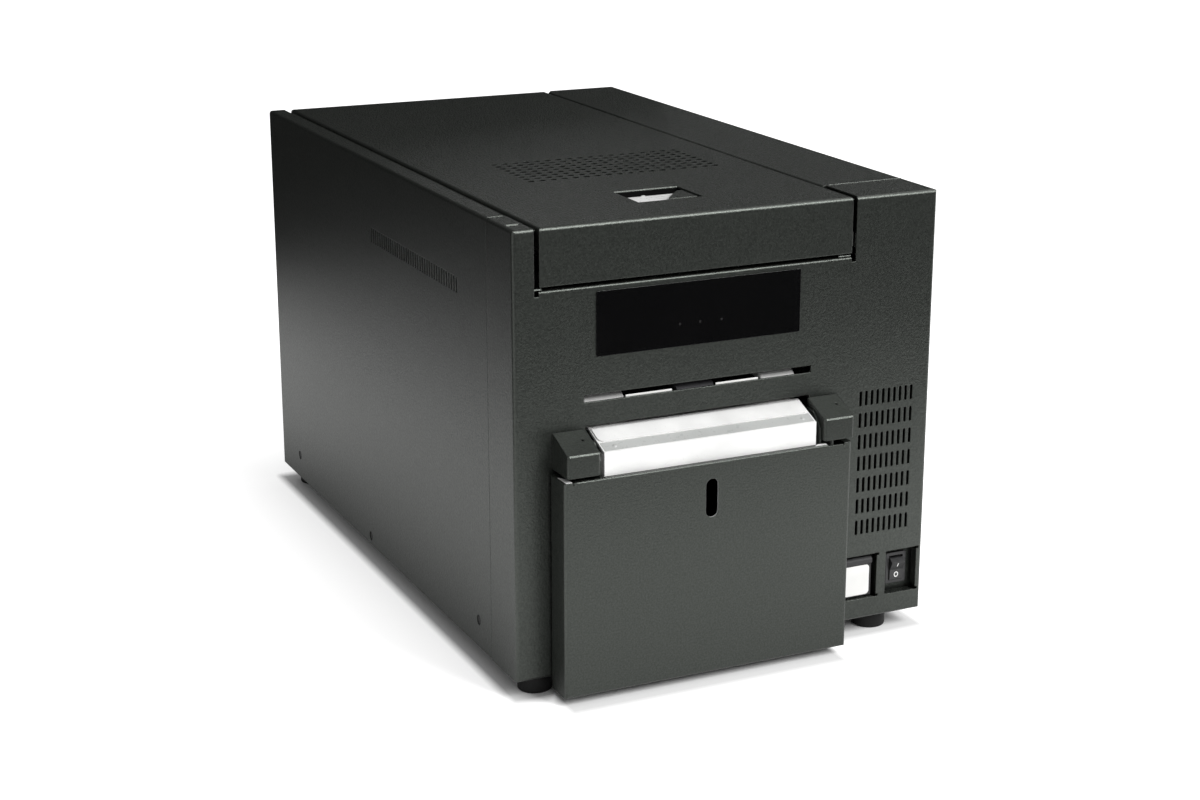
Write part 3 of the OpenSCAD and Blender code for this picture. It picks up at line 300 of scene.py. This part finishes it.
def powder_coat(name, shine=1.0):
    """Black, faintly green coat with a fine grain, and a coarser one on the upward faces,
    which the camera sees at a low angle."""
    look_ = Look(name, (0.008, 0.009, 0.008), 0.36, specular=0.83)
    look_.set("Specular Tint", (0.93, 1.0, 0.92, 1))
    grain = look_.noise(850, 2.0)
    look_.use("Base Color", look_.blend(grain, (0.006, 0.0068, 0.006), (0.01, 0.0114, 0.01)))
    look_.use("Specular IOR Level", look_.ramp(grain, 0.72 * shine, 0.94 * shine))
    look_.use("Roughness", look_.ramp(look_.noise(700, 2.0), 0.32, 0.4))
    look_.soften(0.0009).bump(grain, 1.0, 0.00015)
    split = look_.node("ShaderNodeSeparateXYZ")
    look_.nt.links.new(look_.node("ShaderNodeTexCoord").outputs["Normal"], split.inputs[0])
    upward = look_.ramp(split.outputs["Z"], 0, 1, 0.95, 0.99)
    return look_.bump(look_.noise(600, 1.5, (1.5, 1, 1)), upward, 0.002).mat


def gloss_film():
    look_ = Look("gloss_black", (0.0022, 0.0022, 0.0024), 0.1)
    look_.use("Roughness", look_.ramp(look_.noise(30, 2.0), 0.08, 0.14))
    return look_.soften(0.0002).mat


def brushed(name, color, roughness, stretch):
    look_ = Look(name, color, roughness, metallic=1.0).soften(0.0003)
    lines = look_.noise(60, 4.0, stretch)
    dim = tuple(0.82 * c for c in color)
    look_.use("Base Color", look_.blend(lines, dim, color))
    look_.use("Roughness", look_.ramp(lines, roughness - 0.08, roughness + 0.1))
    return look_.bump(lines, 0.08, 0.0001).mat


def moulded(name, color, roughness, grain=700, depth=0.00006, specular=0.5):
    look_ = Look(name, color, roughness, specular=specular).soften(0.0003)
    fine = look_.noise(grain, 3.0)
    dim = tuple(0.85 * c for c in color)
    look_.use("Base Color", look_.blend(look_.noise(40, 2.0), dim, color))
    look_.use("Roughness", look_.ramp(fine, roughness - 0.05, roughness + 0.07))
    return look_.bump(fine, 0.3, depth).mat


def traced_board():
    """Green circuit board with lighter traces."""
    look_ = Look("circuit_board", (0.02, 0.12, 0.05), 0.35).soften(0.0002)
    traces = look_.noise(220, 1.0, (1, 1, 6))
    look_.use("Base Color", look_.blend(traces, (0.012, 0.09, 0.04), (0.03, 0.18, 0.08),
                                        0.48, 0.52))
    return look_.bump(traces, 0.2, 0.00005).mat


MATERIALS = {
    "black_powder_coat": powder_coat("black_powder_coat"),
    # Shaded copy of the black coat, with less shine, for the guide covers: painted shade.
    "shaded_cover_coat": powder_coat("shaded_cover_coat", shine=0.8),
    "white_paint": moulded("white_paint", (0.9, 0.9, 0.89), 0.32, 500, 0.00002),
    "zinc_steel": brushed("zinc_steel", (0.55, 0.56, 0.57), 0.38, (1, 12, 1)),
    "casing_aluminium": brushed("casing_aluminium", (0.62, 0.63, 0.64), 0.42, (1, 10, 1)),
    "bright_steel": brushed("bright_steel", (0.65, 0.65, 0.66), 0.24, (12, 1, 1)),
    "screw_steel": brushed("screw_steel", (0.05, 0.05, 0.05), 0.45, (1, 1, 1)),
    "latch_metal": moulded("latch_metal", (0.92, 0.92, 0.91), 0.3, 400, 0.00002),
    "foot_rubber": moulded("foot_rubber", (0.01, 0.01, 0.01), 0.5, 900, specular=0.2),
    "roller_rubber": moulded("roller_rubber", (0.07, 0.07, 0.075), 0.62, 1200),
    "cleaning_rubber": moulded("cleaning_rubber", (0.3, 0.42, 0.6), 0.28, 300, 0.00002),
    "belt_rubber": moulded("belt_rubber", (0.022, 0.022, 0.022), 0.6, 900),
    "gloss_black": gloss_film(),
    "switch_plastic": moulded("switch_plastic", (0.03, 0.03, 0.031), 0.36),
    "black_plastic": moulded("black_plastic", (0.028, 0.028, 0.029), 0.5),
    "white_plastic": moulded("white_plastic", (0.94, 0.94, 0.92), 0.4, 500, 0.00003),
    "motor_casing": moulded("motor_casing", (0.1, 0.1, 0.105), 0.42),
    "circuit_board": traced_board(),
    "head_aluminium": brushed("head_aluminium", (0.6, 0.61, 0.63), 0.36, (1, 10, 1)),
    # Near-black with hardly any shine, used as painted shade in the latch's cup and the lid's
    # vents.
    "flat_black": moulded("flat_black", (0.004, 0.004, 0.004), 0.8, specular=0.06),
    "grey_film": moulded("grey_film", (0.5, 0.51, 0.5), 0.3, 300, 0.00001),
    "ribbon_film": moulded("ribbon_film", (0.06, 0.03, 0.05), 0.16, 200, 0.00001),
}


# CAD nodes whose look differs a little from their slot's. The latch's cup is flat black as painted
# shade in its recess, and the guide covers take a shaded copy of the coat, with less shine, as
# painted shade.
FINISHES = {"latch_cup": "flat_black", "weight_rivets": "grey_film", "guide_covers": "shaded_cover_coat"}


def paint(obj, slot, finish=None):
    """Give a piece the material of its slot, or another that looks nearer to the photo."""
    obj.data.materials.clear()
    obj.data.materials.append(MATERIALS[finish or slot])


def paint_cad_nodes():
    """Give every node of the CAD the material that the record names for it."""
    for part in frame["record"]["subparts"]:
        paint(NODES[part["node"]], part["material_slot"], FINISHES.get(part["node"]))


# ---- Pieces made here ----

def link_piece(name, bm, slot, body, finish=None):
    """Turn a mesh into a painted piece that moves with a body."""
    mesh = bpy.data.meshes.new(name)
    bmesh.ops.recalc_face_normals(bm, faces=bm.faces)
    bm.to_mesh(mesh)
    bm.free()
    obj = bpy.data.objects.new(name, mesh)
    bpy.context.scene.collection.objects.link(obj)
    paint(obj, slot, finish)
    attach(obj, body)


def soft_outline(x0, y0, x1, y1, r, steps=6):
    """Points round a rectangle with rounded corners."""
    points = []
    for cx, cy, start in ((x1 - r, y1 - r, 0), (x0 + r, y1 - r, 90), (x0 + r, y0 + r, 180),
                          (x1 - r, y0 + r, 270)):
        for i in range(steps + 1):
            a = math.radians(start + 90 * i / steps)
            points.append((cx + r * math.cos(a), cy + r * math.sin(a)))
    return points


def circle(u, v, radius_u, radius_v=None, steps=20):
    """Points round a circle, or round an ellipse where a second radius is given."""
    radius_v = radius_v or radius_u
    turns = [2 * math.pi * i / steps for i in range(steps)]
    return [(u + radius_u * math.cos(a), v + radius_v * math.sin(a)) for a in turns]


def add_plate(bm, outline, place, thick, bevel=0.0):
    """A plate from a flat outline; place maps (u, v, height) to a point of the part."""
    low = [bm.verts.new(place(u, v, 0)) for u, v in outline]
    high = [bm.verts.new(place(u, v, thick)) for u, v in outline]
    bm.faces.new(low[::-1])
    top = bm.faces.new(high)
    n = len(outline)
    for i in range(n):
        bm.faces.new((low[i], low[(i + 1) % n], high[(i + 1) % n], high[i]))
    if bevel:
        bmesh.ops.bevel(bm, geom=list(top.edges), offset=bevel, segments=2, affect="EDGES",
                        profile=0.5)


def add_ring(bm, inner, outer, place, thick):
    """A flat ring between two outlines with as many points each."""
    verts = [[[bm.verts.new(place(u, v, h)) for u, v in outline] for h in (0, thick)]
             for outline in (inner, outer)]
    n = len(inner)
    for i in range(n):
        j = (i + 1) % n
        for a, b in ((verts[0][1], verts[1][1]), (verts[1][0], verts[0][0]),
                     (verts[1][1], verts[1][0]), (verts[0][0], verts[0][1])):
            bm.faces.new((a[i], a[j], b[j], b[i]))


def make_button_label():
    """Blank white label on the release button."""
    button_y, corner = 2.62, 2.4
    bm = bmesh.new()
    add_plate(bm, soft_outline(226, 15.6, 249.6, 36, corner),
              lambda u, v, h: cab(u, button_y - h, v), 0.25, 0.00008)
    link_piece("button_label", bm, "white_plastic", "button")


def make_rocker_marks():
    """The rocker's I on its upper face and its O on its lower face."""
    axis_y, axis_z, mid_x, proud = 9.4, 28.9, 272.15, 0.05
    low, mid, ridge = Vector((-4.2, -8)), Vector((-4.4, -1.2)), Vector((-7.2, 4.7))

    def on_face(a, b):
        run = (b - a).normalized()
        out = Vector((-run.y, run.x))

        def place(u, v, h):
            p = a + run * v + out * (h - 0.01)
            return cab(mid_x + u, axis_y + p.x, axis_z + p.y)
        return place, (b - a).length

    bm = bmesh.new()
    place, length = on_face(mid, ridge)
    half_width, bottom, top = 0.35, length * 0.42, length * 0.86
    add_plate(bm, [(-half_width, bottom), (half_width, bottom), (half_width, top),
                   (-half_width, top)], place, proud)
    place, length = on_face(low, mid)
    inner, outer = [circle(0, length * 0.5, radius_u, radius_v, 28)
                    for radius_u, radius_v in ((1.0, 1.25), (1.65, 1.95))]
    add_ring(bm, inner, outer, place, proud)
    link_piece("rocker_marks", bm, "white_plastic", "rocker")


def make_weight_strip():
    """Satin grey strip on the weight's slope, between its front fold and its top plate."""
    start, end = Vector((-17.2, 145.2)), Vector((6, 154.2))
    run = (end - start).normalized()
    out = Vector((-run.y, run.x))
    bm = bmesh.new()

    def place(u, v, h):
        p = start + run * v + out * h
        return cab(u, p.x, p.y)
    add_plate(bm, soft_outline(51.3, 1.2, 193.9, 9.3, 0.4, 2), place, 0.12)
    link_piece("weight_strip", bm, "zinc_steel", "weight", "grey_film")


def make_slot_lips():
    """White lips just behind the slot's lower edge, beside the middle roller."""
    rear_y, bottom_z, top_z, corner = 2.3, 170.6, 172.9, 0.4
    bm = bmesh.new()
    for x0, x1 in ((73.3, 104.4), (134.2, 163.6)):
        add_plate(bm, soft_outline(x0, bottom_z, x1, top_z, corner, 3),
                  lambda u, v, h: cab(u, rear_y - h, v), 0.5, 0.00015)
    link_piece("slot_lips", bm, "white_plastic", "root")


def make_lamp_dots():
    """Windows of the three lamps in the overlay."""
    overlay_y, lamps_z, radius = -0.59, 213.4, 0.8
    bm = bmesh.new()
    for x in (108, 121.6, 136.2):
        add_plate(bm, circle(x, lamps_z, radius), lambda u, v, h: cab(u, overlay_y - h, v), 0.05)
    link_piece("lamp_dots", bm, "foot_rubber", "root")


def add_rolled_edge(bm, x0, x1, y, z, width=0.9, lean=33):
    """A narrow face along x that leans back, as the bend at an edge of the sheet does."""
    a = math.radians(lean)

    def place(u, v, h):
        return cab(u, y + v * math.sin(a) - h * math.cos(a), z + v * math.cos(a) + h * math.sin(a))
    add_plate(bm, [(x0, 0), (x1, 0), (x1, width), (x0, width)], place, 0.15)


def make_cap_edges():
    """Bright folds of the front sheet at its two top corners, and of the guide covers."""
    cover_fold = (DOOR_FRONT_Y - 0.2, 146.6)
    slit = (15.3, CAB_TOP_Z - 0.7)
    cap_rear = (CAP_REAR_Y - 0.2, CAB_TOP_Z - 0.4)
    notch = (PANEL_Y + 0.8, 243.1)
    bm = bmesh.new()
    for x0, x1, (y, z), width in (
            (25.6, 44.8, cover_fold, 1.2), (199.2, 218.2, cover_fold, 1.2),
            (3, 10.8, slit, 1.0), (1.5, 11, cap_rear, 0.7), (233, 286.5, cap_rear, 0.7),
            (13.4, 18.4, notch, 0.9), (218, 226.6, notch, 0.7)):
        add_rolled_edge(bm, x0, x1, y, z, width)
    link_piece("cap_edges", bm, "black_powder_coat", "root")


def vent_centres():
    """Centres of the lid's round vents."""
    columns, rows, pitch, x0, y0 = 18, 9, 7.75, 68.4, 130.2
    return [(x0 + i * pitch, y0 + j * pitch) for i in range(columns) for j in range(rows)]


def make_lid_edges():
    """Rolled rear edge of the latch's cut-out, and the rolled rims of the lid's vents."""
    rim_profile = ((3.0, 0.01), (2.55, 0.12), (2.27, -0.16))
    bm = bmesh.new()
    add_rolled_edge(bm, 101, 144.8, 76.6, CAB_TOP_Z - 0.6, 0.85)
    for x, y in vent_centres():
        rings = [[bm.verts.new(cab(u, v, CAB_TOP_Z + up)) for u, v in circle(x, y, radius)]
                 for radius, up in rim_profile]
        for outer, inner in zip(rings, rings[1:]):
            for k in range(len(outer)):
                n = (k + 1) % len(outer)
                bm.faces.new((outer[k], outer[n], inner[n], inner[k]))
    link_piece("lid_edges", bm, "black_powder_coat", "lid")


def make_vent_shade_sleeves():
    """Flat black sleeves in the lid's vents, as painted shade of the dark space under them."""
    radius, depth, mid_z = 0.00216, 0.0013, CAB_TOP_Z - 0.8
    bm = bmesh.new()
    for x, y in vent_centres():
        bmesh.ops.create_cone(bm, cap_ends=False, segments=20, radius1=radius, radius2=radius,
                              depth=depth, matrix=Matrix.Translation(cab(x, y, mid_z)))
    link_piece("vent_shade_sleeves", bm, "foot_rubber", "lid", "flat_black")


def make_door_edges():
    """Bright fold along the top of the door, and its corner tabs' faces, painted light as a
    painted reflection of the light on them.
    """
    bm = bmesh.new()
    add_rolled_edge(bm, 30.5, 200.5, DOOR_FRONT_Y - 0.1, DOOR_TOP_Z - 0.7, 0.8)
    link_piece("door_hem", bm, "black_powder_coat", "door")
    bm = bmesh.new()
    # The tabs' faces are painted light: painted reflection.
    for outline in ([(23.6, -21.3), (27.6, -21.3), (27.6, -15), (23.4, -9)],
                    [(192, -21.2), (200.4, -21.2), (200.4, -18.8), (195, -18.8)]):
        add_plate(bm, outline, lambda u, v, h: cab(u, v, DOOR_TOP_Z + h), 0.25, 0.00005)
    link_piece("door_tab_highlights", bm, "black_powder_coat", "door", "latch_metal")


def make_window_rim_highlight():
    """Bare edge of the sheet round the door's window, painted grey as a painted highlight of the
    light along that edge.
    """
    (x0, z0, x1, z1), radius, front_y = DOOR_WINDOW, 4.15, DOOR_FRONT_Y + 0.15
    inner, outer = [soft_outline(x0 + inset, z0 + inset, x1 - inset, z1 - inset,
                                 radius - inset, 8) for inset in (0.06, 0)]
    bm = bmesh.new()
    add_ring(bm, inner, outer, lambda u, v, h: cab(u, front_y + h, v), 1.0)
    # Painted highlight: the edge's ring is painted grey.
    link_piece("window_rim_highlight", bm, "black_powder_coat", "door", "grey_film")


def make_strip_lip():
    """Inner edge of the right strip, folded in so that it nearly meets the lid."""
    roll, roll_x, length = 1.3, 229.6, 425
    outline = [(232.9, 278.6), (229.5, 278.1), (228.3, 278.3)]
    for i in range(7):
        a = math.radians(180 - 15 * i)
        outline.append((roll_x + roll * math.cos(a), CAB_TOP_Z - roll + roll * math.sin(a)))
    outline.append((232.9, CAB_TOP_Z))
    bm = bmesh.new()
    add_plate(bm, outline, lambda u, v, h: cab(u, CAP_REAR_Y + h, v), length)
    link_piece("strip_lip", bm, "black_powder_coat", "root")


def make_latch_corner_shade():
    """Black plate over the right corner of the latch's paddle, as painted shade where that end
    lies in shadow, and the small rib on its rear edge, painted grey as a painted highlight of that
    small shiny part.
    """
    rib_rear_y = 69.6
    bm = bmesh.new()
    # Painted shade: a black plate over the paddle's right corner.
    outline = [(124.6, 48), (144.2, 48), (144.2, 68.9), (140.6, 68.9), (127, 52.4)]
    add_plate(bm, outline, lambda u, v, h: cab(u, v, PADDLE_TOP_Z + h), 1.9, 0.00008)
    link_piece("latch_corner_shade", bm, "black_powder_coat", "latch")
    bm = bmesh.new()
    # The rib's grey is a painted highlight.
    add_plate(bm, soft_outline(116, 275.6, 119, 277.9, 0.8, 3),
              lambda u, v, h: cab(u, rib_rear_y - h, v), 0.8, 0.0002)
    link_piece("latch_rib_glint", bm, "latch_metal", "latch", "grey_film")


# ---- The scene ----

make_camera()
make_world()
make_floor()
make_black_card("left_card", (-0.56, -0.25), (-0.29, 0.92), 0.75)
make_black_card("rear_left_card", (-0.29, 0.92), (0.05, 0.92), 1.5, lean=1.0)
make_black_card("rear_upper_card", (0.05, 0.92), (0.47, 0.92), 1.5, foot=0.72, lean=1.0)
make_black_card("rear_right_card", (0.47, 0.92), (2.5, 0.92), 1.2)
make_black_card("top_flag", (-0.17, 0.3), (0.2, 0.3), 0.43, foot=0.27, drop=0.06)
make_black_card("front_card", (-2.5, -0.99), (2.5, -0.37), 0.42)
add_area("key_softbox", (1.24, -2.32, 2.15), (0, -0.2, 0.28), (1.35, 1.8), 98)
add_area("front_softbox", (-0.4, -2.4, 1.3), (0, -0.2, 0.15), (1.2, 0.7), 6)
bpy.context.scene.view_settings.view_transform = "Standard"
paint_cad_nodes()
make_button_label()
make_rocker_marks()
make_weight_strip()
make_slot_lips()
make_lamp_dots()
make_cap_edges()
make_lid_edges()
make_vent_shade_sleeves()
make_latch_corner_shade()
make_strip_lip()
make_door_edges()
make_window_rim_highlight()
